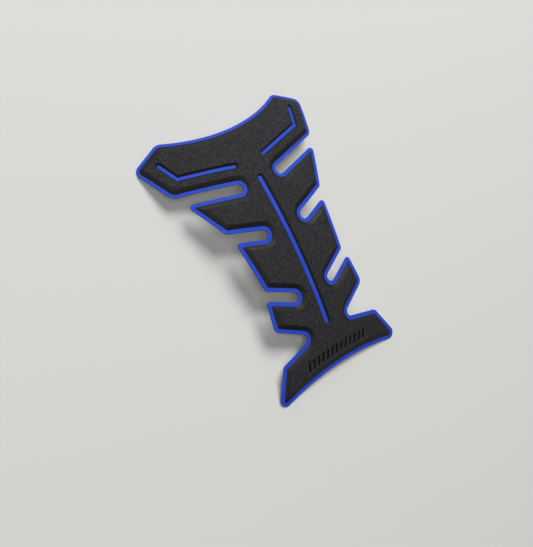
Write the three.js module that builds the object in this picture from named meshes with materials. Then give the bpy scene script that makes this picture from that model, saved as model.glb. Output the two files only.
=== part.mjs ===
// Tank pad for a motorcycle: a black rubber grip layer on a blue base sheet, with a film of
// adhesive on the back. Sizes are in millimetres.
//
// The pattern is drawn flat. There u runs across the pad, v runs along it towards the front of
// the tank, and w is the height above the back of the base sheet. Each layer is made flat, its
// faces are divided finely enough to bend, and then it is bent over the tank's surface, which
// curves both ways. +Y points to the front of the tank and +Z away from it. The pad lies as a
// dome on the tips of its wings and its tail.

import * as THREE from 'three';

// Layers, measured square to the tank
const BASE_THICKNESS = 0.8;
const BASE_EDGE_CHAMFER = 0.3;
const GRIP_THICKNESS = 1.4;
const GRIP_FOOT = 0.15; // upright part of the grip's edge, below its slope
const GRIP_SLOPE = 3.3; // how far the slope of the edge reaches inwards
const FILM_THICKNESS = 0.3;
const FILM_INSET = 2.0; // how far the film stays back from the base's edge
const BOND_LINE = 0.15; // glue between two layers

// Width of the blue left showing round the grip. It narrows towards the wings.
const RIM_REAR = 2.9;
const RIM_FRONT = 2.15;
const RIM_NARROWS_FROM = 20; // v where it starts to narrow
const RIM_NARROWS_TO = 90; // v from which it stays narrow

// Shape of the tank under the pad, as radii of curvature
const TANK_ALONG = 363;
const TANK_ACROSS_FRONT = 236; // at the wings
const TANK_ACROSS_REAR = 975; // at the tail
const TANK_STATION = 95; // distance of both stations from the pad's middle

// Nose edge and wings: sharp corners of the outline, each with the radius that rounds it
const NOSE_MIDDLE = 86.4; // v of the nose edge on the centre line
const WING_NOSE_U = 54.8;
const WING_NOSE_V = 99.4;
const WING_NOSE_ROUND = 8.0;
const WING_TIP_U = 79.6;
const WING_TIP_V = 89.1;
const WING_TIP_ROUND = 5.5;
const WING_HEEL_ROUND = 8.0;

// Slots between the fingers. Each rises outwards at an angle in degrees from a round end.
const SLOT_WIDTH = 7.0;
const SLOT_END_FLAT = 0.2; // straight part between the two rounded corners of a slot's end
const FRONT_SLOT_U = 19.5;
const FRONT_SLOT_V = 44.3;
const FRONT_SLOT_ANGLE = 13.5;
const MIDDLE_SLOT_U = 19.7;
const MIDDLE_SLOT_V = 7.8;
const MIDDLE_SLOT_ANGLE = 18.4;
const REAR_SLOT_U = 18.4;
const REAR_SLOT_V = -41.4;
const REAR_SLOT_ANGLE = 26.8;

// Lengths of the slots' edges, from the middle of the round end to the sharp corner outside
const WING_HEEL_REACH = 49.1;
const FRONT_FINGER_TIP_REACH = 42.0;
const FRONT_FINGER_HEEL_REACH = 28.6;
const MIDDLE_FINGER_TIP_REACH = 23.0;
const MIDDLE_FINGER_HEEL_REACH = 23.6;
const REAR_FINGER_TIP_REACH = 23.3;
const FINGER_TIP_ROUND = 2.6;
const FINGER_HEEL_ROUND = 3.5;

// Rear finger, waist and tail
const REAR_HEEL_U = 43.7;
const REAR_HEEL_V = -56.7;
const REAR_HEEL_ROUND = 5.5;
const WAIST_U = 14.6;
const WAIST_V = -73.2;
const WAIST_ROUND = 3.8;
const TAIL_SHOULDER_U = 47.2;
const TAIL_SHOULDER_V = -82.0;
const TAIL_SHOULDER_ROUND = 4.8;
const TAIL_TIP_U = 62.6;
const TAIL_TIP_V = -112.4;
const TAIL_TIP_ROUND = 4.7;
const TAIL_MIDDLE = -102.6; // v of the tail edge on the centre line

// Grooves through the grip layer, down to the blue. The one in each wing runs beside the wing's
// edges, and its middle line keeps these distances from them.
const WING_GROOVE_WIDTH = 2.3;
const WING_GROOVE_FROM_REAR = 12.9;
const WING_GROOVE_FROM_SIDE = 14.0;
const WING_GROOVE_FROM_FRONT = 11.2;
const WING_GROOVE_FROM_SPINE = 13.5;
const SPINE_WIDTH = 3.15;
const SPINE_FRONT = 44.8;
const SPINE_REAR = -68.6;
const GROOVE_FLARE = 1.3; // how far each groove wall leans back towards the top

// Fineness of the facets
const FACET = 11.0; // longest edge of a facet
const ARC_STEP = 30; // degrees
const EDGE_PIECES = 8; // steps in half of the nose edge, and of the tail edge
const HALVED_SHARE = 0.85; // edges longer than this share of the longest are halved together
const LEAST_ROUND = 0.3; // radius left at a corner that an inset would make sharp

const arcStep = THREE.MathUtils.degToRad(ARC_STEP);
const vec = (u, v) => new THREE.Vector2(u, v);

// Outlines. A corner is a sharp point and the radius that rounds it, and a loop of corners runs
// anticlockwise.
const corner = (u, v, round = 0) => ({ point: vec(u, v), round });

const mirrored = ({ point, round }) => corner(-point.x, point.y, round);

// Points along a shallow arc from (0, middle) towards the corner at its outer end. The last
// piece is two steps long, which leaves room to round and inset the corner.
function edgeCurve(middle, end) {
  const rise = end.y - middle;
  const radius = (end.x ** 2 + rise ** 2) / (2 * rise);
  const sweep = Math.asin(end.x / Math.abs(radius));
  const curve = [];
  for (let k = 1; k < EDGE_PIECES - 1; k += 1) {
    const angle = (sweep * k) / EDGE_PIECES;
    curve.push(corner(Math.abs(radius) * Math.sin(angle), middle + radius * (1 - Math.cos(angle))));
  }
  return curve;
}

// The four corners of a slot, from its lower mouth round its end to its upper mouth
function slotCorners(u, v, angle, lower, upper) {
  const along = vec(1, 0).rotateAround(vec(0, 0), THREE.MathUtils.degToRad(angle));
  const across = vec(-along.y, along.x);
  const half = SLOT_WIDTH / 2;
  const endRound = half - SLOT_END_FLAT / 2;
  const place = (reach, side, round) => {
    const point = vec(u, v).addScaledVector(along, reach).addScaledVector(across, side * half);
    return corner(point.x, point.y, round);
  };
  return [
    place(lower.reach, -1, lower.round),
    place(-half, -1, endRound),
    place(-half, 1, endRound),
    place(upper.reach, 1, upper.round),
  ];
}

const frontSlot = slotCorners(FRONT_SLOT_U, FRONT_SLOT_V, FRONT_SLOT_ANGLE,
  { reach: FRONT_FINGER_TIP_REACH, round: FINGER_TIP_ROUND },
  { reach: WING_HEEL_REACH, round: WING_HEEL_ROUND });
const wingTip = corner(WING_TIP_U, WING_TIP_V, WING_TIP_ROUND);
const wingNose = corner(WING_NOSE_U, WING_NOSE_V, WING_NOSE_ROUND);

function padCorners() {
  const tailTip = corner(TAIL_TIP_U, TAIL_TIP_V, TAIL_TIP_ROUND);
  const right = [
    ...edgeCurve(TAIL_MIDDLE, tailTip.point),
    tailTip,
    corner(TAIL_SHOULDER_U, TAIL_SHOULDER_V, TAIL_SHOULDER_ROUND),
    corner(WAIST_U, WAIST_V, WAIST_ROUND),
    corner(REAR_HEEL_U, REAR_HEEL_V, REAR_HEEL_ROUND),
    ...slotCorners(REAR_SLOT_U, REAR_SLOT_V, REAR_SLOT_ANGLE,
      { reach: REAR_FINGER_TIP_REACH, round: FINGER_TIP_ROUND },
      { reach: MIDDLE_FINGER_HEEL_REACH, round: FINGER_HEEL_ROUND }),
    ...slotCorners(MIDDLE_SLOT_U, MIDDLE_SLOT_V, MIDDLE_SLOT_ANGLE,
      { reach: MIDDLE_FINGER_TIP_REACH, round: FINGER_TIP_ROUND },
      { reach: FRONT_FINGER_HEEL_REACH, round: FINGER_HEEL_ROUND }),
    ...frontSlot,
    wingTip,
    wingNose,
    ...edgeCurve(NOSE_MIDDLE, wingNose.point).reverse(),
  ];
  const left = right.map(mirrored).reverse();
  return [corner(0, TAIL_MIDDLE), ...right, corner(0, NOSE_MIDDLE), ...left];
}

// Corners of a groove that follows a line of points and has round ends
function grooveCorners(path, width) {
  const half = width / 2;
  const sideOf = (side) => path.map((point, i) => {
    const back = point.clone().sub(path[i - 1] ?? point).normalize();
    const ahead = (path[i + 1] ?? point).clone().sub(point).normalize();
    if (i === 0) back.copy(ahead);
    if (i === path.length - 1) ahead.copy(back);
    const atEnd = i === 0 ? -half : i === path.length - 1 ? half : 0;
    const bisector = back.clone().add(ahead);
    const square = vec(-bisector.y, bisector.x).multiplyScalar((2 * side * half) / bisector.lengthSq());
    const place = point.clone().add(square).addScaledVector(ahead, atEnd);
    return corner(place.x, place.y, atEnd === 0 ? LEAST_ROUND : half);
  });
  return [...sideOf(-1), ...sideOf(1).reverse()];
}

// A line beside a straight edge of the outline, on the pad's side of it
function besideEdge(from, to, distance) {
  const along = to.point.clone().sub(from.point).normalize();
  return { along, point: from.point.clone().add(vec(-along.y, along.x).setLength(distance)) };
}

function crossing(line, other) {
  const between = other.point.clone().sub(line.point);
  const travel = between.cross(other.along) / line.along.cross(other.along);
  return line.point.clone().addScaledVector(line.along, travel);
}

function grooveLoops() {
  const [, , slotEnd, wingHeel] = frontSlot;
  const rear = besideEdge(slotEnd, wingHeel, WING_GROOVE_FROM_REAR);
  const side = besideEdge(wingHeel, wingTip, WING_GROOVE_FROM_SIDE);
  const front = besideEdge(wingTip, wingNose, WING_GROOVE_FROM_FRONT);
  const inner = { point: vec(WING_GROOVE_FROM_SPINE, 0), along: vec(0, 1) };
  const wing = grooveCorners(
    [crossing(rear, inner), crossing(rear, side), crossing(side, front)],
    WING_GROOVE_WIDTH,
  );
  const spine = grooveCorners([vec(0, SPINE_REAR), vec(0, SPINE_FRONT)], SPINE_WIDTH);
  return [wing, wing.map(mirrored).reverse(), spine];
}

// For each corner of a loop: the unit directions to its neighbours, and whether it juts out
function sidesOf(corners) {
  return corners.map(({ point }, i) => {
    const back = corners.at(i - 1).point.clone().sub(point).normalize();
    const ahead = corners[(i + 1) % corners.length].point.clone().sub(point).normalize();
    return { back, ahead, juts: back.cross(ahead) < 0 };
  });
}

// The same loop with every edge moved inwards, or outwards where the distance is negative. The
// distance at each corner follows from the corner's v.
function inset(corners, distanceAt) {
  const sides = sidesOf(corners);
  return corners.map(({ point, round }, i) => {
    const { back, ahead, juts } = sides[i];
    const distance = distanceAt(point.y);
    const squares = vec(back.y, -back.x).add(vec(-ahead.y, ahead.x));
    const place = point.clone().addScaledVector(squares, (2 * distance) / squares.lengthSq());
    const rounded = Math.max(round + (juts ? -distance : distance), LEAST_ROUND);
    return corner(place.x, place.y, round === 0 ? 0 : rounded);
  });
}

// The points of a loop, with its corners rounded
function rounded(corners) {
  const loop = [];
  sidesOf(corners).forEach(({ back, ahead, juts }, i) => {
    const { point, round } = corners[i];
    if (round === 0) {
      loop.push(point);
      return;
    }
    const half = back.angleTo(ahead) / 2;
    const centre = back.clone().add(ahead).setLength(round / Math.sin(half)).add(point);
    const start = point.clone().addScaledVector(back, round / Math.tan(half));
    const turn = (juts ? 1 : -1) * (Math.PI - 2 * half);
    const pieces = Math.max(1, Math.ceil(Math.abs(turn) / arcStep - 1e-9));
    for (let k = 0; k <= pieces; k += 1) {
      loop.push(start.clone().rotateAround(centre, (turn * k) / pieces));
    }
  });
  return loop.filter((point, i) => point.distanceTo(loop.at(i - 1)) > 1e-6);
}

// A flat closed layer. Each wall is a list of levels {w, loop}, from the bottom to the top. The
// first wall is the outside, and the others go round holes.
function flatLayer(walls) {
  const points = [];
  const triangles = [];
  const ends = walls.map((levels, hole) => {
    const starts = levels.map(({ w, loop }) => {
      const start = points.length;
      loop.forEach(({ x, y }) => points.push(new THREE.Vector3(x, y, w)));
      return start;
    });
    const { length } = levels[0].loop;
    for (let level = 1; level < levels.length; level += 1) {
      const [low, high] = [starts[level - 1], starts[level]];
      for (let k = 0; k < length; k += 1) {
        const next = (k + 1) % length;
        const [a, b] = hole > 0 ? [next, k] : [k, next];
        triangles.push([low + a, low + b, high + b], [low + a, high + b, high + a]);
      }
    }
    return { low: starts[0], high: starts.at(-1), length };
  });
  const cap = (side, up) => {
    const indices = ends.flatMap(({ [side]: start, length }) => (
      Array.from({ length }, (_, k) => start + k)));
    const loops = walls.map((levels) => levels.at(up ? -1 : 0).loop);
    THREE.ShapeUtils.triangulateShape(loops[0], loops.slice(1)).forEach((face) => {
      const [a, b, c] = face.map((k) => indices[k]);
      const facesUp = normalOf(points, a, b, c).z > 0;
      triangles.push(facesUp === up ? [a, b, c] : [a, c, b]);
    });
  };
  cap('low', false);
  cap('high', true);
  return { points, triangles };
}

function normalOf(points, a, b, c) {
  return new THREE.Triangle(points[a], points[b], points[c]).getNormal(new THREE.Vector3());
}

const turnsOf = ([a, b, c]) => [[a, b, c], [b, c, a], [c, a, b]];

// Halves the longest edges, on both of their sides, while any is longer than FACET
function halveLongEdges({ points, triangles }) {
  const middles = new Map();
  const edgeName = (a, b) => (a < b ? `${a} ${b}` : `${b} ${a}`);
  const edges = triangles.flatMap(turnsOf).filter(([a, b]) => a < b)
    .map(([a, b]) => ({ a, b, length: points[a].distanceTo(points[b]) }));
  const longest = edges.reduce((most, { length }) => Math.max(most, length), 0);
  edges.forEach(({ a, b, length }) => {
    if (length <= Math.max(FACET, longest * HALVED_SHARE)) return;
    middles.set(edgeName(a, b), points.length);
    points.push(points[a].clone().lerp(points[b], 0.5));
  });
  const split = (triangle) => {
    const cut = turnsOf(triangle).find(([a, b]) => middles.has(edgeName(a, b)));
    if (!cut) return [triangle];
    const [a, b, c] = cut;
    const middle = middles.get(edgeName(a, b));
    return [...split([a, middle, c]), ...split([middle, b, c])];
  };
  const halved = triangles.flatMap(split);
  triangles.length = 0;
  halved.forEach((triangle) => triangles.push(triangle));
  return middles.size > 0;
}

// Swaps the diagonal of each flat pair of triangles whose angles facing it are too wide
function swapDiagonals({ points, triangles }) {
  const angleAt = (tip, a, b) => (
    points[a].clone().sub(points[tip]).angleTo(points[b].clone().sub(points[tip])));
  const flat = (a, b, c, d) => (
    Math.abs(normalOf(points, a, b, c).dot(points[d].clone().sub(points[a]))) < 1e-7);
  let swapped = true;
  while (swapped) {
    swapped = false;
    const owners = new Map();
    triangles.forEach((triangle, t) => turnsOf(triangle).forEach(([a, b, c]) => {
      owners.set(`${a} ${b}`, { t, tip: c });
    }));
    const touched = new Set();
    owners.forEach(({ t, tip }, name) => {
      const [a, b] = name.split(' ').map(Number);
      const other = owners.get(`${b} ${a}`);
      if (a > b || touched.has(t) || touched.has(other.t)) return;
      const tooWide = angleAt(tip, a, b) + angleAt(other.tip, a, b) > Math.PI + 1e-6;
      if (!tooWide || !flat(a, b, tip, other.tip)) return;
      triangles[t] = [a, other.tip, tip];
      triangles[other.t] = [other.tip, b, tip];
      touched.add(t).add(other.t);
      swapped = true;
    });
  }
}

// The tank's surface. Its curvature across changes evenly along the pad.
const acrossFront = 1 / TANK_ACROSS_FRONT;
const acrossRear = 1 / TANK_ACROSS_REAR;

function bent({ x: u, y: v, z: w }) {
  const across = THREE.MathUtils.mapLinear(v, -TANK_STATION, TANK_STATION, acrossRear, acrossFront);
  const turn = u * across;
  const reach = 1 / across + w;
  const lift = reach * Math.cos(turn) - 1 / across;
  const pitch = v / TANK_ALONG;
  return new THREE.Vector3(
    reach * Math.sin(turn),
    (TANK_ALONG + lift) * Math.sin(pitch),
    (TANK_ALONG + lift) * Math.cos(pitch) - TANK_ALONG,
  );
}

function layer(name, walls, material) {
  const flat = flatLayer(walls);
  do swapDiagonals(flat); while (halveLongEdges(flat));
  const geometry = new THREE.BufferGeometry().setFromPoints(flat.points.map(bent));
  geometry.setIndex(flat.triangles.flat());
  geometry.computeVertexNormals();
  const mesh = new THREE.Mesh(geometry, new THREE.MeshStandardMaterial(material));
  mesh.name = name;
  return mesh;
}

// A wall, as pairs of height and distance in from the loop of corners
const wall = (corners, levels) => (
  levels.map(([w, distance]) => ({ w, loop: rounded(inset(corners, () => distance)) })));

function rimAt(v) {
  const share = THREE.MathUtils.inverseLerp(RIM_NARROWS_FROM, RIM_NARROWS_TO, v);
  return THREE.MathUtils.lerp(RIM_REAR, RIM_FRONT, THREE.MathUtils.clamp(share, 0, 1));
}

const outline = padCorners();
const gripOutline = inset(outline, rimAt);

const adhesiveFilm = layer('adhesive_film', [
  wall(outline, [
    [-BOND_LINE - FILM_THICKNESS, FILM_INSET],
    [-BOND_LINE, FILM_INSET],
  ]),
], { color: 0xd9d6c8, roughness: 0.45, metalness: 0 });

const baseLayer = layer('base_layer', [
  wall(outline, [
    [0, 0],
    [BASE_THICKNESS - BASE_EDGE_CHAMFER, 0],
    [BASE_THICKNESS, BASE_EDGE_CHAMFER],
  ]),
], { color: 0x3651c3, roughness: 0.42, metalness: 0 });

const gripBottom = BASE_THICKNESS + BOND_LINE;
const gripTop = gripBottom + GRIP_THICKNESS;
const gripLayer = layer('grip_layer', [
  wall(gripOutline, [
    [gripBottom, 0],
    [gripBottom + GRIP_FOOT, 0],
    [gripTop, GRIP_SLOPE],
  ]),
  ...grooveLoops().map((groove) => wall(groove, [
    [gripBottom, 0],
    [gripTop, -GROOVE_FLARE],
  ])),
], { color: 0x313133, roughness: 0.85, metalness: 0 });

const pad = new THREE.Group();
pad.name = 'tank_pad';
pad.add(adhesiveFilm, baseLayer, gripLayer);

// Tilts the pad about X until its lowest points in front of the middle and behind it are level
const underside = baseLayer.geometry.getAttribute('position');
function lowest(sign) {
  const found = new THREE.Vector3(0, 0, Infinity);
  const point = new THREE.Vector3();
  for (let k = 0; k < underside.count; k += 1) {
    point.fromBufferAttribute(underside, k).applyEuler(pad.rotation);
    if (point.y * sign > 0 && point.z < found.z) found.copy(point);
  }
  return found;
}
const LEVELLING_ROUNDS = 6;
for (let round = 0; round < LEVELLING_ROUNDS; round += 1) {
  const front = lowest(1);
  const rear = lowest(-1);
  pad.rotation.x -= Math.atan2(front.z - rear.z, front.y - rear.y);
}

// Stands the pad on its tips, centred over the origin
const box = new THREE.Box3().setFromObject(pad, true);
const middle = box.getCenter(new THREE.Vector3());
pad.position.set(-middle.x, -middle.y, -box.min.z);

export default pad;
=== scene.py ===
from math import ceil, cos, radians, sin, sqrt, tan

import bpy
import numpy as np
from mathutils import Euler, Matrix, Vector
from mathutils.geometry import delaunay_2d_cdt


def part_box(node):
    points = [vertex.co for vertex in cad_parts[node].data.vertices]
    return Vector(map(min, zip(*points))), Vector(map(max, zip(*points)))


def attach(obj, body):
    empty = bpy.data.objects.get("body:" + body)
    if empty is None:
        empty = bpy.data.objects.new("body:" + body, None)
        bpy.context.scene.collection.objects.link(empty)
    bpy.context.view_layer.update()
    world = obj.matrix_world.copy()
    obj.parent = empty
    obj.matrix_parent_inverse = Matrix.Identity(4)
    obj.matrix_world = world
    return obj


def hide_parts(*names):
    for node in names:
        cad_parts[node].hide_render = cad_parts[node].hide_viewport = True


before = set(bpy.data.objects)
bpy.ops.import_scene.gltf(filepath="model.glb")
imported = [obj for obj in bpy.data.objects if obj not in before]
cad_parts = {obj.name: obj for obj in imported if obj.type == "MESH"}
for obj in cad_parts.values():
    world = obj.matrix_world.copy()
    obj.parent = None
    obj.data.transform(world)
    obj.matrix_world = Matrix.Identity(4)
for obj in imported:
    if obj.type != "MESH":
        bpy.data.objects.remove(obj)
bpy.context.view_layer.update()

# A tank pad for a motorcycle: black grip rubber on a blue base sheet, with a film of adhesive
# on the back. Each layer is drawn flat in u, across the pad, v, along it towards the front of
# the tank, and w, the height above the base sheet's back. A geometry nodes tree then bends the
# flat layers over the tank's surface. Sizes are in metres and angles in degrees.

# Layers, measured square to the tank
BASE_THICKNESS = 0.0008
BASE_EDGE_ROUND = 0.0004
BASE_BACK_BEVEL = 0.0001  # height of the small bevel at the back
BASE_BACK_INSET = 0.00012
GRIP_TOP = 0.00235
GRIP_FOOT = 0.00008
GRIP_SLOPE = 0.0033
FOOT_EDGE = 0.00004  # narrow faces on both sides of the edge between the foot and the slope
SLOPE_EDGE = 0.0001
SHOULDER = 0.0003  # length of the rounding between the slope and the top face
FILM_THICKNESS = 0.0003
FILM_INSET = 0.0020
FILM_BACK_INSET = 0.00005
TOUCH = 0.00002  # clearance between layers that touch
RIM_LINE = 0.0013  # faint moulded line round the rim
RIM_LINE_WIDTH = 0.0004
RIM_LINE_DEPTH = 0.00005
# The rim line's side value paints shade into the line, with the base's darker edge blue
RIM_LINE_SIDE = 0.4  # side value in the line, which shades it

# Width of the blue rim round the grip, which narrows towards the wings between two places in v
RIM_REAR = 0.0029
RIM_FRONT = 0.00215
RIM_NARROWS_FROM = 0.020
RIM_NARROWS_TO = 0.090

# Shape of the tank under the pad, as radii of curvature
TANK_ALONG = 0.363
TANK_ACROSS_FRONT = 0.236
TANK_ACROSS_REAR = 0.975
TANK_STATION = 0.095  # the two radii across apply this far in front of v = 0 and behind it

# Outline: sharp corners (u, v) and the radius that rounds each
NOSE_MIDDLE = 0.0864
WING_NOSE = (0.0548, 0.0994, 0.0080)
WING_TIP = (0.0796, 0.0891, 0.0055)
WING_HEEL_ROUND = 0.0080
REAR_HEEL = (0.0437, -0.0567, 0.0055)
WAIST = (0.0146, -0.0732, 0.0038)
TAIL_SHOULDER = (0.0472, -0.0820, 0.0048)
TAIL_TIP = (0.0626, -0.1124, 0.0047)
TAIL_MIDDLE = -0.1026

# Slots: the middle of the round end (u, v), the angle that the slot rises at, and the lengths
# of its lower and upper edge up to the sharp corner outside
SLOT_WIDTH = 0.0070
SLOT_END_FLAT = 0.0002  # straight part between the two rounded corners of a slot's end
FRONT_SLOT = (0.0195, 0.0443, 13.5)
FRONT_REACHES = (0.0420, 0.0491)
MIDDLE_SLOT = (0.0197, 0.0078, 18.4)
MIDDLE_REACHES = (0.0230, 0.0286)
REAR_SLOT = (0.0184, -0.0414, 26.8)
REAR_REACHES = (0.0233, 0.0236)
FINGER_TIP_ROUND = 0.0026
FINGER_HEEL_ROUND = 0.0035

# Grooves down to the blue, and the distances that the wing's groove keeps from its edges
WING_GROOVE_WIDTH = 0.0023
FROM_REAR_EDGE = 0.0129
FROM_SIDE_EDGE = 0.0140
FROM_FRONT_EDGE = 0.0112
FROM_SPINE = 0.0135
SPINE_WIDTH = 0.00315
SPINE_FRONT = 0.0448
SPINE_REAR = -0.0686
GROOVE_FLARE = 0.0013
GROOVE_SHOULDER = 0.0005

# Row of slanted bars pressed into the tail, beside its edge
BAR_COUNT = 13
BAR_PITCH = 0.0046
BAR_WIDTH = 0.0017
BAR_LENGTH = 0.0064
BAR_SLANT = 24
BAR_ROUND = 0.00045
BAR_DEPTH = 0.0004
BAR_LIP = 0.0002  # how far the rounding of a bar's edge reaches outwards
BAR_LIP_MIDDLE = 0.00005
BAR_LIP_DEPTH = 0.00015
BAR_DRAFT = 0.0001  # how far a bar's floor is inset
BARS_FROM_EDGE = 0.0124

# Camera at the photograph's viewing angle
CAMERA_PLACE = (-0.4085, 0.0342, 0.6053)
CAMERA_TURN = (13.228, -30.447, -31.747)
CAMERA_LENS = 66.22  # millimetres

# Fineness of the meshes
ARC_STEP = 9  # largest turn between two points of a rounded corner
EDGE_STEP = 0.0016  # largest distance between two points of an edge
GRID = 0.0022  # spacing of the points inside a face
GRID_CLEARANCE = 0.6 * GRID  # between the grid and the edges round it
SHOULDER_STEPS = 6
LIP_STEPS = 4
BASE_EDGE_STEPS = 5
LEAST_ROUND = 0.0003  # radius below which no corner falls
WHOLE_STEP_SLACK = 1e-3  # keeps a rounding error from adding a step
SAME_POINT = 1e-9
SHARP_ANGLE = 38  # faces that meet at a larger angle are shaded with a sharp edge
LEVELLING_ROUNDS = 8


def left_of(direction):
    """The direction turned a quarter anticlockwise."""
    return Vector((-direction.y, direction.x))


class Straight:
    """A straight edge, with the pad on its left. Like a Bow, it gives its heading at a point,
    its copy moved inwards, its nearest point to another, and the points between two of its own."""

    def __init__(self, start, end):
        self.start = start
        self.along = (end - start).normalized()

    def heading(self, _point):
        return self.along

    def inset(self, distance):
        start = self.start + left_of(self.along) * distance
        return Straight(start, start + self.along)

    def nearest(self, point):
        return self.start + self.along * (point - self.start).dot(self.along)

    def between(self, start, end, share):
        return start.lerp(end, share)


class Bow:
    """An edge along an arc, hollow seen from outside, with the pad outside the arc's circle."""

    def __init__(self, centre, radius):
        self.centre = centre
        self.radius = radius

    def heading(self, point):
        return -left_of((point - self.centre).normalized())

    def inset(self, distance):
        return Bow(self.centre, self.radius + distance)

    def nearest(self, point):
        return self.centre + (point - self.centre).normalized() * self.radius

    def between(self, start, end, share):
        return self.nearest(start.lerp(end, share))


def crossing(edge, other, near):
    """Where two edges meet. At most one of them is bowed."""
    if isinstance(edge, Bow):
        edge, other = other, edge
    if isinstance(other, Bow):
        foot = edge.nearest(other.centre)
        reach = sqrt(other.radius ** 2 - (foot - other.centre).length_squared)
        ends = (foot + edge.along * reach, foot - edge.along * reach)
        return min(ends, key=lambda end: (end - near).length)
    travel = (other.start - edge.start).cross(other.along) / edge.along.cross(other.along)
    return edge.start + edge.along * travel


class Outline:
    """A closed anticlockwise loop of edges, with rounded corners. Every inset of it has the same
    number of points, so that two insets can be joined by a wall."""

    def __init__(self, corners, bows=None):
        self.points = [Vector(corner[:2]) for corner in corners]
        self.rounds = [corner[2] for corner in corners]
        self.edges = [Straight(point, self.points[(k + 1) % len(corners)])
                      for k, point in enumerate(self.points)]
        for k, bow in (bows or {}).items():
            self.edges[k] = bow
        fillets = [self.fillet(k, 0) for k in range(len(corners))]
        self.arc_pieces = [ceil(abs(turn) / radians(ARC_STEP)) for _, _, turn, _ in fillets]
        gaps = [(fillets[(k + 1) % len(fillets)][1] - end).length
                for k, (_, _, _, end) in enumerate(fillets)]
        self.edge_pieces = [ceil(gap / EDGE_STEP - WHOLE_STEP_SLACK) for gap in gaps]

    def juts(self, k):
        """1 where corner k juts out, -1 where it is hollow."""
        corner = self.points[k]
        back, ahead = self.edges[k - 1].heading(corner), self.edges[k].heading(corner)
        return 1 if back.cross(ahead) > 0 else -1

    def fillet(self, k, distance):
        """Centre, start, turn and end of the rounded corner k."""
        back, ahead = self.edges[k - 1], self.edges[k]
        corner = self.points[k]
        juts = self.juts(k)
        radius = max(self.rounds[k] - juts * distance, LEAST_ROUND)
        depth = distance + juts * radius
        centre = crossing(back.inset(depth), ahead.inset(depth), corner)
        start = back.inset(distance).nearest(centre)
        end = ahead.inset(distance).nearest(centre)
        turn = juts * (start - centre).angle(end - centre)
        return centre, start, turn, end

    def inset(self, distance):
        """The loop's points with every edge moved inwards by distance."""
        loop = []
        fillets = [self.fillet(k, distance) for k in range(len(self.points))]
        for k, (centre, start, turn, end) in enumerate(fillets):
            spoke = start - centre
            first = 0 if self.edge_pieces[k - 1] > 0 else 1
            for step in range(first, self.arc_pieces[k] + 1):
                angle = turn * step / self.arc_pieces[k]
                loop.append(centre + rotated(spoke, angle))
            target = fillets[(k + 1) % len(fillets)][1]
            edge = self.edges[k].inset(distance)
            for step in range(1, self.edge_pieces[k]):
                loop.append(edge.between(end, target, step / self.edge_pieces[k]))
        return loop


def rotated(vector, angle):
    """The vector turned anticlockwise."""
    return Vector((vector.x * cos(angle) - vector.y * sin(angle),
                   vector.x * sin(angle) + vector.y * cos(angle)))


def slot_corners(slot, reaches, rounds):
    """The four corners of a slot, from its lower mouth round its end to its upper mouth."""
    u, v, angle = slot
    along = rotated(Vector((1, 0)), radians(angle))
    half = SLOT_WIDTH / 2
    end_round = half - SLOT_END_FLAT / 2

    def corner(reach, side, radius):
        place = Vector((u, v)) + along * reach + left_of(along) * side * half
        return place.x, place.y, radius

    return [corner(reaches[0], -1, rounds[0]), corner(-half, -1, end_round),
            corner(-half, 1, end_round), corner(reaches[1], 1, rounds[1])]


def bow_through(middle, end):
    """The arc across the pad from one corner to its mirror image, through (0, middle)."""
    rise = end[1] - middle
    radius = (end[0] ** 2 + rise ** 2) / (2 * abs(rise))
    return Bow(Vector((0, middle + (radius if rise > 0 else -radius))), radius)


def pad_outline():
    """The base sheet's outline, and the corners of its right front slot."""
    front_slot = slot_corners(FRONT_SLOT, FRONT_REACHES, (FINGER_TIP_ROUND, WING_HEEL_ROUND))
    fingers = (slot_corners(REAR_SLOT, REAR_REACHES, (FINGER_TIP_ROUND, FINGER_HEEL_ROUND))
               + slot_corners(MIDDLE_SLOT, MIDDLE_REACHES, (FINGER_TIP_ROUND, FINGER_HEEL_ROUND))
               + front_slot)
    right = [TAIL_TIP, TAIL_SHOULDER, WAIST, REAR_HEEL] + fingers + [WING_TIP, WING_NOSE]
    left = [(-u, v, radius) for u, v, radius in reversed(right)]
    bows = {
        len(right) - 1: bow_through(NOSE_MIDDLE, WING_NOSE),
        len(right) + len(left) - 1: bow_through(TAIL_MIDDLE, TAIL_TIP),
    }
    return Outline(right + left, bows), front_slot


def rim_at(v):
    """The rim's width at a place along the pad."""
    share = (v - RIM_NARROWS_FROM) / (RIM_NARROWS_TO - RIM_NARROWS_FROM)
    return RIM_REAR + (RIM_FRONT - RIM_REAR) * min(max(share, 0.0), 1.0)


def grip_outline(outline):
    """The outline inside the rim."""
    corners = []
    for k, point in enumerate(outline.points):
        rim = rim_at(point.y)
        place = crossing(outline.edges[k - 1].inset(rim), outline.edges[k].inset(rim), point)
        radius = max(outline.rounds[k] - outline.juts(k) * rim, LEAST_ROUND)
        corners.append((place.x, place.y, radius))
    bows = {}
    for k, edge in enumerate(outline.edges):
        if isinstance(edge, Bow):
            middle = edge.nearest(Vector((0, 0)))
            middle = middle + left_of(edge.heading(middle)) * rim_at(middle.y)
            bows[k] = bow_through(middle.y, corners[k])
    return Outline(corners, bows)


def groove(path, width):
    """The outline of a groove along a path, with round ends."""
    half = width / 2
    ahead = [(b - a).normalized() for a, b in zip(path, path[1:])]
    right, left = [], []
    for k, point in enumerate(path):
        before, after = ahead[max(k - 1, 0)], ahead[min(k, len(ahead) - 1)]
        out = -after if k == 0 else before if k == len(path) - 1 else Vector((0, 0))
        mitre = left_of(before + after) * (2 * half / (before + after).length_squared)
        radius = LEAST_ROUND if out.length == 0 else half
        for side, corners in ((-1, right), (1, left)):
            place = point + mitre * side + out * half
            corners.append((place.x, place.y, radius))
    return Outline(right + left[::-1])


def mirrored(path):
    """The path on the other side of the spine."""
    return [Vector((-point.x, point.y)) for point in path]


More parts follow.
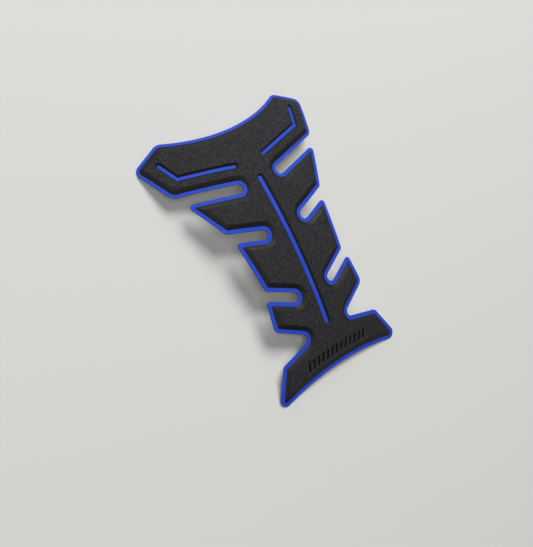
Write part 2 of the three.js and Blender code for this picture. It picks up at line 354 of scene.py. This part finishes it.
def groove_outlines(front_slot):
    """The bent groove in each wing, beside the wing's edges, and the groove along the spine."""
    slot_end, heel = (Vector(corner[:2]) for corner in front_slot[2:])
    tip, nose = Vector(WING_TIP[:2]), Vector(WING_NOSE[:2])
    rear = Straight(slot_end, heel).inset(FROM_REAR_EDGE)
    side = Straight(heel, tip).inset(FROM_SIDE_EDGE)
    front = Straight(tip, nose).inset(FROM_FRONT_EDGE)
    inner = Straight(Vector((FROM_SPINE, 0)), Vector((FROM_SPINE, 1)))
    path = [crossing(rear, inner, heel), crossing(rear, side, heel), crossing(side, front, tip)]
    spine = [Vector((0, SPINE_REAR)), Vector((0, SPINE_FRONT))]
    return [groove(path, WING_GROOVE_WIDTH), groove(mirrored(path), WING_GROOVE_WIDTH),
            groove(spine, SPINE_WIDTH)]


def bar_outlines():
    """Slanted bars in a row that runs beside the tail's edge."""
    line = bow_through(TAIL_MIDDLE, TAIL_TIP).inset(BARS_FROM_EDGE)
    lean = BAR_LENGTH / 2 * tan(radians(BAR_SLANT))
    bars = []
    for k in range(BAR_COUNT):
        turn = (k - (BAR_COUNT - 1) / 2) * BAR_PITCH / line.radius
        corners = []
        for side, end in ((-1, -1), (1, -1), (1, 1), (-1, 1)):
            offset = Vector((side * BAR_WIDTH / 2 + end * lean, end * BAR_LENGTH / 2 + line.radius))
            place = line.centre + rotated(offset, -turn)
            corners.append((place.x, place.y, BAR_ROUND))
        bars.append(Outline(corners))
    return bars


def inside(points, loop):
    """Which points lie inside a closed loop, by counting the loop's sides on their right."""
    here = np.array([tuple(point) for point in loop])
    there = np.roll(here, -1, axis=0)
    u, v = points[:, :1], points[:, 1:]
    spans = (here[:, 1] > v) != (there[:, 1] > v)
    rise = np.where(here[:, 1] == there[:, 1], 1.0, there[:, 1] - here[:, 1])
    meets = here[:, 0] + (v - here[:, 1]) * (there[:, 0] - here[:, 0]) / rise
    return (spans & (u < meets)).sum(axis=1) % 2 == 1


def filled(points, loops):
    """Which points lie inside the first loop and outside the others."""
    keep = inside(points, loops[0])
    for hole in loops[1:]:
        keep &= ~inside(points, hole)
    return keep


def grid_points(loops):
    """A square grid over the area between the loops, clear of their points."""
    edges = np.array([tuple(point) for loop in loops for point in loop])
    low, high = edges.min(axis=0), edges.max(axis=0)
    u, v = np.meshgrid(np.arange(low[0], high[0], GRID), np.arange(low[1], high[1], GRID))
    points = np.column_stack([u.ravel(), v.ravel()])
    points = points[filled(points, loops)]
    gaps = np.sqrt(((points[:, None] - edges[None]) ** 2).sum(axis=2)).min(axis=1)
    return points[gaps > GRID_CLEARANCE]


class Flat:
    """The points and faces of one closed layer, while it is flat. Each point has a side value
    as well: 1 on the layer's side faces, 0 on its top and bottom, and 2 in a pressed bar."""

    def __init__(self):
        self.points = []
        self.sides = []
        self.faces = []

    def ring(self, loop, height, side):
        """Adds the points of a loop at one height, and gives their indices."""
        start = len(self.points)
        self.points += [(point[0], point[1], height) for point in loop]
        self.sides += [side] * len(loop)
        return range(start, len(self.points))

    def wall(self, outline, levels):
        """Rings at levels (height, inset, side), joined. The outer wall's levels run upwards, a
        hole's downwards. Gives the first ring and the last."""
        rings = [self.ring(outline.inset(inset), height, side) for height, inset, side in levels]
        for low, high in zip(rings, rings[1:]):
            for k in range(len(low)):
                here, there = k - 1, k
                self.faces.append((low[here], low[there], high[there], high[here]))
        return rings[0], rings[-1]

    def cap(self, rings, height, facing, side=0.0):
        """A face between the first ring and the others, made of small triangles."""
        loops = [[self.points[k][:2] for k in ring] for ring in rings]
        indices = [k for ring in rings for k in ring]
        sides_of_loops = []
        for loop in loops:
            start = len(sides_of_loops)
            sides_of_loops += [(start + k, start + (k + 1) % len(loop)) for k in range(len(loop))]
        grid = grid_points(loops)
        indices += self.ring(grid, height, side)
        flat = [Vector(self.points[k][:2]) for k in indices]
        places, _, triangles, _, _, _ = delaunay_2d_cdt(flat, sides_of_loops, [], 0, SAME_POINT)
        if len(places) != len(flat):
            raise ValueError("a face's outline crosses itself")
        plan = np.array([tuple(point) for point in places])
        corners = plan[np.array(triangles)]
        for triangle, keep in zip(triangles, filled(corners.mean(axis=1), loops)):
            if keep:
                a, b, c = triangle if facing > 0 else triangle[::-1]
                self.faces.append((indices[a], indices[b], indices[c]))

    def mesh(self, name):
        """The layer as a mesh, with its side values as an attribute."""
        mesh = bpy.data.meshes.new(name)
        mesh.from_pydata(self.points, [], self.faces)
        mesh.attributes.new("side", "FLOAT", "POINT").data.foreach_set("value", self.sides)
        mesh.validate()
        return mesh


def eased(start, corner, end, pieces):
    """Levels on a smooth curve from start to end that leaves both towards the corner. The side
    value falls from 1 to 0 along it."""
    levels = []
    for k in range(pieces + 1):
        share = k / pieces
        height, inset = (
            (1 - share) ** 2 * a + 2 * share * (1 - share) * b + share ** 2 * c
            for a, b, c in zip(start, corner, end))
        levels.append((height, inset, 1 - share))
    return levels


def pulled(point, towards, length):
    """The point moved by length towards another."""
    gap = Vector(towards) - Vector(point)
    return tuple(Vector(point) + gap.normalized() * length)


def grip_layer(outline, grooves, bars):
    """The black rubber: sloped all round, cut through by grooves, with bars pressed into it."""
    layer = Flat()
    bottom = BASE_THICKNESS + TOUCH
    foot = (bottom + GRIP_FOOT, 0.0)
    crest = (GRIP_TOP, GRIP_SLOPE)
    slope_end = pulled(crest, foot, SHOULDER)
    outer = layer.wall(grip_outline(outline), [
        (bottom, 0.0, 1),
        (*pulled(foot, (bottom, 0.0), FOOT_EDGE), 1), (*pulled(foot, crest, SLOPE_EDGE), 1),
        *eased(slope_end, crest, (GRIP_TOP, GRIP_SLOPE + SHOULDER), SHOULDER_STEPS)])
    lows, highs = [outer[0]], [outer[1]]
    floor = (bottom, 0.0)
    lip = (GRIP_TOP, -GROOVE_FLARE)
    lip_end = (GRIP_TOP, -GROOVE_FLARE - GROOVE_SHOULDER)
    rising = eased(pulled(lip, floor, GROOVE_SHOULDER), lip, lip_end, LIP_STEPS)
    for groove_outline in grooves:
        high, low = layer.wall(groove_outline, [*reversed(rising), (*floor, 1)])
        highs.append(high)
        lows.append(low)
    for bar in bars:
        high, low = layer.wall(bar, [
            (GRIP_TOP, -BAR_LIP, 0), (GRIP_TOP - BAR_LIP_MIDDLE, -BAR_LIP_MIDDLE, 1),
            (GRIP_TOP - BAR_LIP_DEPTH, 0, 2), (GRIP_TOP - BAR_DEPTH, BAR_DRAFT, 2)])
        highs.append(high)
        layer.cap([low], GRIP_TOP - BAR_DEPTH, 1, 2)
    layer.cap(lows, bottom, -1)
    layer.cap(highs, GRIP_TOP, 1)
    return layer.mesh("grip layer, flat")


def base_layer(outline):
    """The blue sheet, with a rounded upper edge and a faint line along its rim."""
    layer = Flat()
    edge_start = (BASE_THICKNESS - BASE_EDGE_ROUND, 0.0)
    edge = (BASE_THICKNESS, 0.0)
    edge_end = (BASE_THICKNESS, BASE_EDGE_ROUND)
    line = RIM_LINE_WIDTH / 2
    low, high = layer.wall(outline, [
        (0.0, BASE_BACK_INSET, 1), (BASE_BACK_BEVEL, 0, 1),
        *eased(edge_start, edge, edge_end, BASE_EDGE_STEPS),
        (BASE_THICKNESS, RIM_LINE - line, 0),
        # the rim line's level carries painted shade through its side value
        (BASE_THICKNESS - RIM_LINE_DEPTH, RIM_LINE, RIM_LINE_SIDE),
        (BASE_THICKNESS, RIM_LINE + line, 0), (BASE_THICKNESS, RIM_REAR, 0)])
    layer.cap([low], 0.0, -1)
    layer.cap([high], BASE_THICKNESS, 1)
    return layer.mesh("base layer, flat")


def adhesive_film(outline):
    """The film on the back, set in from the base sheet's edge."""
    layer = Flat()
    low, high = layer.wall(outline, [
        (-FILM_THICKNESS - TOUCH, FILM_INSET + FILM_BACK_INSET, 0),
        (-FILM_THICKNESS / 2, FILM_INSET, 1),
        (-TOUCH, FILM_INSET, 1)])
    layer.cap([low], -FILM_THICKNESS - TOUCH, -1)
    layer.cap([high], -TOUCH, 1)
    return layer.mesh("adhesive film, flat")


def new_object(name, data):
    """A new object in the scene."""
    made = bpy.data.objects.new(name, data)
    bpy.context.scene.collection.objects.link(made)
    return made


def add(tree, kind, inputs=None, **settings):
    """A node with its settings, and each input set to a value or joined to a socket."""
    made = tree.nodes.new(kind)
    for name, value in settings.items():
        setattr(made, name, value)
    for name, value in (inputs or {}).items():
        if isinstance(value, bpy.types.NodeSocket):
            tree.links.new(value, made.inputs[name])
        else:
            made.inputs[name].default_value = value
    return made


def calculate(tree, operation, *values):
    """A sum worked out by a node."""
    return add(tree, "ShaderNodeMath", dict(enumerate(values)), operation=operation).outputs[0]


def new_tree(name, kind, inputs, outputs):
    """A node group, with sockets given as {name: (type, value)} and {name: type}."""
    tree = bpy.data.node_groups.new(name, kind)
    for socket_name, (socket_type, value) in inputs.items():
        socket = tree.interface.new_socket(socket_name, in_out="INPUT", socket_type=socket_type)
        if value is not None:
            socket.default_value = value
    for socket_name, socket_type in outputs.items():
        tree.interface.new_socket(socket_name, in_out="OUTPUT", socket_type=socket_type)
    return tree, tree.nodes.new("NodeGroupInput").outputs, tree.nodes.new("NodeGroupOutput")


def tank_tree():
    """Bends flat layers over a surface that curves along the pad and across it. The curvature
    across changes evenly from the rear station to the front one."""
    tree, given, result = new_tree("bend over tank", "GeometryNodeTree", {
        "Geometry": ("NodeSocketGeometry", None),
        "Radius along": ("NodeSocketFloat", 1.0),
        "Radius across front": ("NodeSocketFloat", 1.0),
        "Radius across rear": ("NodeSocketFloat", 1.0),
        "Station": ("NodeSocketFloat", 1.0),
        "Tilt": ("NodeSocketVector", None),
        "Place": ("NodeSocketVector", None),
        "Finish": ("NodeSocketMaterial", None),
    }, {"Geometry": "NodeSocketGeometry"})
    tree.is_modifier = True
    position = add(tree, "GeometryNodeInputPosition").outputs[0]
    u, v, w = add(tree, "ShaderNodeSeparateXYZ", {0: position}).outputs
    along = given["Radius along"]
    bend = add(tree, "ShaderNodeMapRange", {
        "Value": v,
        "From Min": calculate(tree, "MULTIPLY", given["Station"], -1.0),
        "From Max": given["Station"],
        "To Min": calculate(tree, "DIVIDE", 1.0, given["Radius across rear"]),
        "To Max": calculate(tree, "DIVIDE", 1.0, given["Radius across front"]),
    }, clamp=False).outputs[0]
    turn = calculate(tree, "MULTIPLY", u, bend)
    radius = calculate(tree, "DIVIDE", 1.0, bend)
    reach = calculate(tree, "ADD", radius, w)
    rise = calculate(tree, "MULTIPLY", reach, calculate(tree, "COSINE", turn))
    lift = calculate(tree, "SUBTRACT", rise, radius)
    pitch = calculate(tree, "DIVIDE", v, along)
    swing = calculate(tree, "ADD", along, lift)
    height = calculate(tree, "MULTIPLY", swing, calculate(tree, "COSINE", pitch))
    bent = add(tree, "ShaderNodeCombineXYZ", {
        "X": calculate(tree, "MULTIPLY", reach, calculate(tree, "SINE", turn)),
        "Y": calculate(tree, "MULTIPLY", swing, calculate(tree, "SINE", pitch)),
        "Z": calculate(tree, "SUBTRACT", height, along),
    })
    moved = add(tree, "GeometryNodeSetPosition", {
        "Geometry": given["Geometry"], "Position": bent.outputs[0]})
    placed = add(tree, "GeometryNodeTransform", {
        "Geometry": moved.outputs[0], "Rotation": given["Tilt"], "Translation": given["Place"]})
    real = add(tree, "GeometryNodeRealizeInstances", {"Geometry": placed.outputs[0]})
    painted = add(tree, "GeometryNodeSetMaterial", {
        "Geometry": real.outputs[0], "Material": given["Finish"]})
    tree.links.new(painted.outputs[0], result.inputs["Geometry"])
    return tree


def bend(tree, flat_mesh, name, tilt=0.0, place=(0.0, 0.0, 0.0), finish=None):
    """The flat mesh bent over the tank, as a plain mesh."""
    carrier = new_object(name, flat_mesh)
    modifier = carrier.modifiers.new("bend over tank", "NODES")
    modifier.node_group = tree
    values = {
        "Radius along": TANK_ALONG, "Radius across front": TANK_ACROSS_FRONT,
        "Radius across rear": TANK_ACROSS_REAR, "Station": TANK_STATION,
        "Tilt": (tilt, 0.0, 0.0), "Place": place, "Finish": finish,
    }
    for item in tree.interface.items_tree:
        if item.name in values and item.in_out == "INPUT":
            modifier[item.identifier] = values[item.name]
    graph = bpy.context.evaluated_depsgraph_get()
    mesh = bpy.data.meshes.new_from_object(
        carrier.evaluated_get(graph), preserve_all_data_layers=True, depsgraph=graph)
    bpy.data.objects.remove(carrier)
    return mesh


def points_of(mesh):
    """The mesh's points, one in each row."""
    points = np.empty(len(mesh.vertices) * 3)
    mesh.vertices.foreach_get("co", points)
    return points.reshape(-1, 3)


def resting_pose(tree, base_mesh):
    """The tilt about X at which the pad's wings and tail are level, and the place that sets it
    down over the base sheet's solid."""
    points = points_of(bend(tree, base_mesh, "trial"))
    tilt = 0.0
    for _ in range(LEVELLING_ROUNDS):
        y = points[:, 1] * cos(tilt) - points[:, 2] * sin(tilt)
        z = points[:, 1] * sin(tilt) + points[:, 2] * cos(tilt)
        front = np.argmin(np.where(y > 0, z, np.inf))
        rear = np.argmin(np.where(y < 0, z, np.inf))
        tilt -= (z[front] - z[rear]) / (y[front] - y[rear])
    low, high = (Vector(corner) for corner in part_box("base_layer"))
    place = ((low.x + high.x) / 2, (low.y + high.y) / 2 - (y.min() + y.max()) / 2, low.z - z.min())
    return tilt, place


def piece(name, mesh, node):
    """A finished piece that stands for a CAD node."""
    mesh.name = name
    mesh.shade_smooth()
    mesh.set_sharp_from_angle(angle=radians(SHARP_ANGLE))
    made = new_object(name, mesh)
    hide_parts(node)
    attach(made, "root")


def grain_group():
    """Fine moulded grain: rounded pebbles of a given size, each with a shade of its own, and a
    softer unevenness under them."""
    tree, given, result = new_tree("moulded grain", "ShaderNodeTree", {
        "Pebble size": ("NodeSocketFloat", 0.0005),
        "Unevenness": ("NodeSocketFloat", 0.4),
    }, {"Height": "NodeSocketFloat", "Fleck": "NodeSocketFloat"})
    place = add(tree, "ShaderNodeTexCoord").outputs["Object"]
    fineness = calculate(tree, "DIVIDE", 1.0, given["Pebble size"])
    pebbles = add(tree, "ShaderNodeTexVoronoi", {
        "Vector": place, "Scale": fineness, "Smoothness": 0.35}, feature="SMOOTH_F1")
    swell = add(tree, "ShaderNodeTexNoise", {
        "Vector": place, "Scale": calculate(tree, "MULTIPLY", fineness, 0.45), "Detail": 2.0})
    shades = add(tree, "ShaderNodeSeparateColor", {"Color": pebbles.outputs["Color"]})
    domes = calculate(tree, "SUBTRACT", 1.0, pebbles.outputs["Distance"])
    uneven = calculate(tree, "MULTIPLY", swell.outputs["Fac"], given["Unevenness"])
    tree.links.new(calculate(tree, "ADD", domes, uneven), result.inputs["Height"])
    fleck = add(tree, "ShaderNodeMapRange", {
        "Value": shades.outputs["Red"], "From Min": 0.12, "From Max": 0.88})
    tree.links.new(fleck.outputs[0], result.inputs["Fleck"])
    return tree


def handling_group():
    """Broad faint patches, as hands and cloths leave on rubber and plastic."""
    tree, given, result = new_tree("handling", "ShaderNodeTree", {
        "Patch size": ("NodeSocketFloat", 0.03),
    }, {"Patch": "NodeSocketFloat"})
    place = add(tree, "ShaderNodeTexCoord").outputs["Object"]
    fineness = calculate(tree, "DIVIDE", 1.0, given["Patch size"])
    cloud = add(tree, "ShaderNodeTexNoise", {
        "Vector": place, "Scale": fineness, "Detail": 4.0, "Roughness": 0.6, "Distortion": 0.4})
    patch = add(tree, "ShaderNodeMapRange", {
        "Value": cloud.outputs["Fac"], "From Min": 0.35, "From Max": 0.65,
    }, interpolation_type="SMOOTHSTEP")
    tree.links.new(patch.outputs[0], result.inputs["Patch"])
    return tree


def place_group(tree, group, **values):
    """A node group placed in a material, with the values of its sockets."""
    inputs = {name.replace("_", " "): value for name, value in values.items()}
    return add(tree, "ShaderNodeGroup", inputs, node_tree=group)


def new_material(name):
    """A material, its node tree and its shader."""
    material = bpy.data.materials.new(name)
    material.use_nodes = True
    tree = material.node_tree
    return material, tree, tree.nodes["Principled BSDF"]


def ramp(tree, value, low, high):
    """The value from 0 to 1 spread between low and high."""
    inputs = {"Value": value, "To Min": low, "To Max": high}
    return add(tree, "ShaderNodeMapRange", inputs).outputs[0]


def blend(tree, share, first, second):
    """A colour between two others."""
    mixed = add(tree, "ShaderNodeMix", {0: share, 6: first, 7: second}, data_type="RGBA")
    return mixed.outputs[2]


def side_of(tree):
    """The mesh's side value, as Flat describes it."""
    return add(tree, "ShaderNodeAttribute", attribute_name="side").outputs["Fac"]


def dress(tree, skin, colour, rough, bump):
    """Joins a material's colour, roughness and relief to its shader."""
    tree.links.new(colour, skin.inputs["Base Color"])
    tree.links.new(rough, skin.inputs["Roughness"])
    tree.links.new(bump.outputs[0], skin.inputs["Normal"])


def grip_rubber(grain, handling):
    """Matt black rubber, grained on its face. Its slopes are smoother and a darker black, and its
    bars are painted near-black as painted shade in their recesses.
    """
    dark_pebble, light_pebble = (0.0062, 0.0064, 0.0072, 1), (0.0440, 0.0445, 0.0475, 1)
    # pressed is painted shade: a near-black colour on the pressed bars' floors and walls, standing
    # in for the shade in these recesses
    worn, slope, pressed = (
        (0.0275, 0.0280, 0.0300, 1), (0.0128, 0.0125, 0.0123, 1), (0.0010, 0.0010, 0.0012, 1))
    material, tree, skin = new_material("black grip rubber")
    side = side_of(tree)
    sloped = calculate(tree, "MINIMUM", side, 1.0)
    # share of the painted shade in the bars: 1 in a pressed bar, nothing elsewhere
    bar_painted_shade = calculate(tree, "SUBTRACT", side, 1.0)
    pebbles = place_group(tree, grain, Pebble_size=0.00050, Unevenness=0.5)
    patch = place_group(tree, handling, Patch_size=0.022).outputs["Patch"]
    face = blend(tree, pebbles.outputs["Fleck"], dark_pebble, light_pebble)
    face = blend(tree, ramp(tree, patch, 0.0, 0.25), face, worn)
    colour = blend(tree, bar_painted_shade, blend(tree, side, face, slope), pressed)
    smoother = calculate(tree, "MULTIPLY", sloped, 0.30)
    rough = calculate(tree, "SUBTRACT", ramp(tree, patch, 0.80, 0.90), smoother)
    depth = ramp(tree, side, 1.0, 0.25)
    bump = add(tree, "ShaderNodeBump", {
        "Height": calculate(tree, "MULTIPLY", pebbles.outputs["Height"], depth),
        "Strength": 0.7, "Distance": 0.00022})
    dress(tree, skin, colour, rough, bump)
    skin.inputs["Specular IOR Level"].default_value = 0.20
    return material


def blue_base(grain, handling):
    """Satin blue plastic, with painted shade darkening its rounded edge and side, and a little of
    it in the faint rim line.
    """
    clean, handled = (0.026, 0.069, 0.530, 1), (0.030, 0.077, 0.570, 1)
    # edge is painted shade: a darker blue on the sheet's rounded edge and side, carried by the side
    # value, which also puts part of it into the rim line
    edge = (0.023, 0.058, 0.49, 1)
    material, tree, skin = new_material("satin blue base")
    texture = place_group(tree, grain, Pebble_size=0.00035, Unevenness=0.8)
    patch = place_group(tree, handling, Patch_size=0.03).outputs["Patch"]
    colour = blend(tree, side_of(tree), blend(tree, patch, clean, handled), edge)
    rough = ramp(tree, patch, 0.45, 0.55)
    bump = add(tree, "ShaderNodeBump", {
        "Height": texture.outputs["Height"], "Strength": 0.25, "Distance": 0.00008})
    dress(tree, skin, colour, rough, bump)
    skin.inputs["Specular IOR Level"].default_value = 0.06
    return material


def adhesive(grain, handling):
    """Milky film, faintly rippled and a little glossy."""
    thick, thin = (0.68, 0.66, 0.57, 1), (0.72, 0.70, 0.62, 1)
    material, tree, skin = new_material("milky adhesive film")
    texture = place_group(tree, grain, Pebble_size=0.0021, Unevenness=1.0)
    patch = place_group(tree, handling, Patch_size=0.012).outputs["Patch"]
    colour = blend(tree, patch, thick, thin)
    rough = ramp(tree, patch, 0.26, 0.42)
    bump = add(tree, "ShaderNodeBump", {
        "Height": texture.outputs["Height"], "Strength": 0.3, "Distance": 0.0002})
    dress(tree, skin, colour, rough, bump)
    return material


def build_pad():
    """Draws the three layers flat, bends them over the tank and makes a piece of each."""
    outline, front_slot = pad_outline()
    grip = grip_layer(outline, groove_outlines(front_slot), bar_outlines())
    base = base_layer(outline)
    film = adhesive_film(outline)
    tree = tank_tree()
    tilt, place = resting_pose(tree, base)
    grain, handling = grain_group(), handling_group()
    for name, flat, node, material_slot, finish in (
        ("pad_grip", grip, "grip_layer", "grip_rubber", grip_rubber(grain, handling)),
        ("pad_base", base, "base_layer", "blue_base", blue_base(grain, handling)),
        ("pad_film", film, "adhesive_film", "adhesive", adhesive(grain, handling)),
    ):
        piece(name, bend(tree, flat, name, tilt, place, finish), node)


def lamp(name, place, width, energy):
    """A round soft lamp, aimed at the pad."""
    data = bpy.data.lights.new(name, "AREA")
    data.shape = "DISK"
    data.size = width
    data.energy = energy
    made = new_object(name, data)
    made.location = place
    made.rotation_euler = (-made.location).to_track_quat("-Z", "Y").to_euler()


def studio():
    """A pale floor, a large soft lamp high at the front right, a weaker one at the left, a faint
    low one in front, and an even low light all round."""
    mesh = bpy.data.meshes.new("floor")
    reach = 4.0
    corners = [(-reach, -reach, 0), (reach, -reach, 0), (reach, reach, 0), (-reach, reach, 0)]
    mesh.from_pydata(corners, [], [(0, 1, 2, 3)])
    floor = new_object("floor", mesh)
    paint, _, skin = new_material("pale floor")
    skin.inputs["Base Color"].default_value = (0.66, 0.66, 0.64, 1)
    skin.inputs["Roughness"].default_value = 0.9
    mesh.materials.append(paint)

    lamp("key", (1.05, 1.6, 2.2), width=1.7, energy=75.0)
    lamp("overhead panel", (-1.15, 0.0, 2.2), width=1.6, energy=19.0)
    lamp("low front panel", (0.5, 2.3, 0.8), width=1.2, energy=9.0)

    world = bpy.data.worlds.new("studio")
    world.use_nodes = True
    background = world.node_tree.nodes["Background"].inputs
    background["Color"].default_value = (1.0, 1.0, 1.0, 1)
    background["Strength"].default_value = 0.10
    bpy.context.scene.world = world


def camera():
    """The photograph's point of view."""
    data = bpy.data.cameras.new("camera")
    data.lens = CAMERA_LENS
    data.clip_start = 0.01
    made = new_object("camera", data)
    made.location = CAMERA_PLACE
    made.rotation_euler = Euler([radians(angle) for angle in CAMERA_TURN])
    bpy.context.scene.camera = made


build_pad()
studio()
camera()
bpy.context.scene.view_settings.view_transform = "Standard"
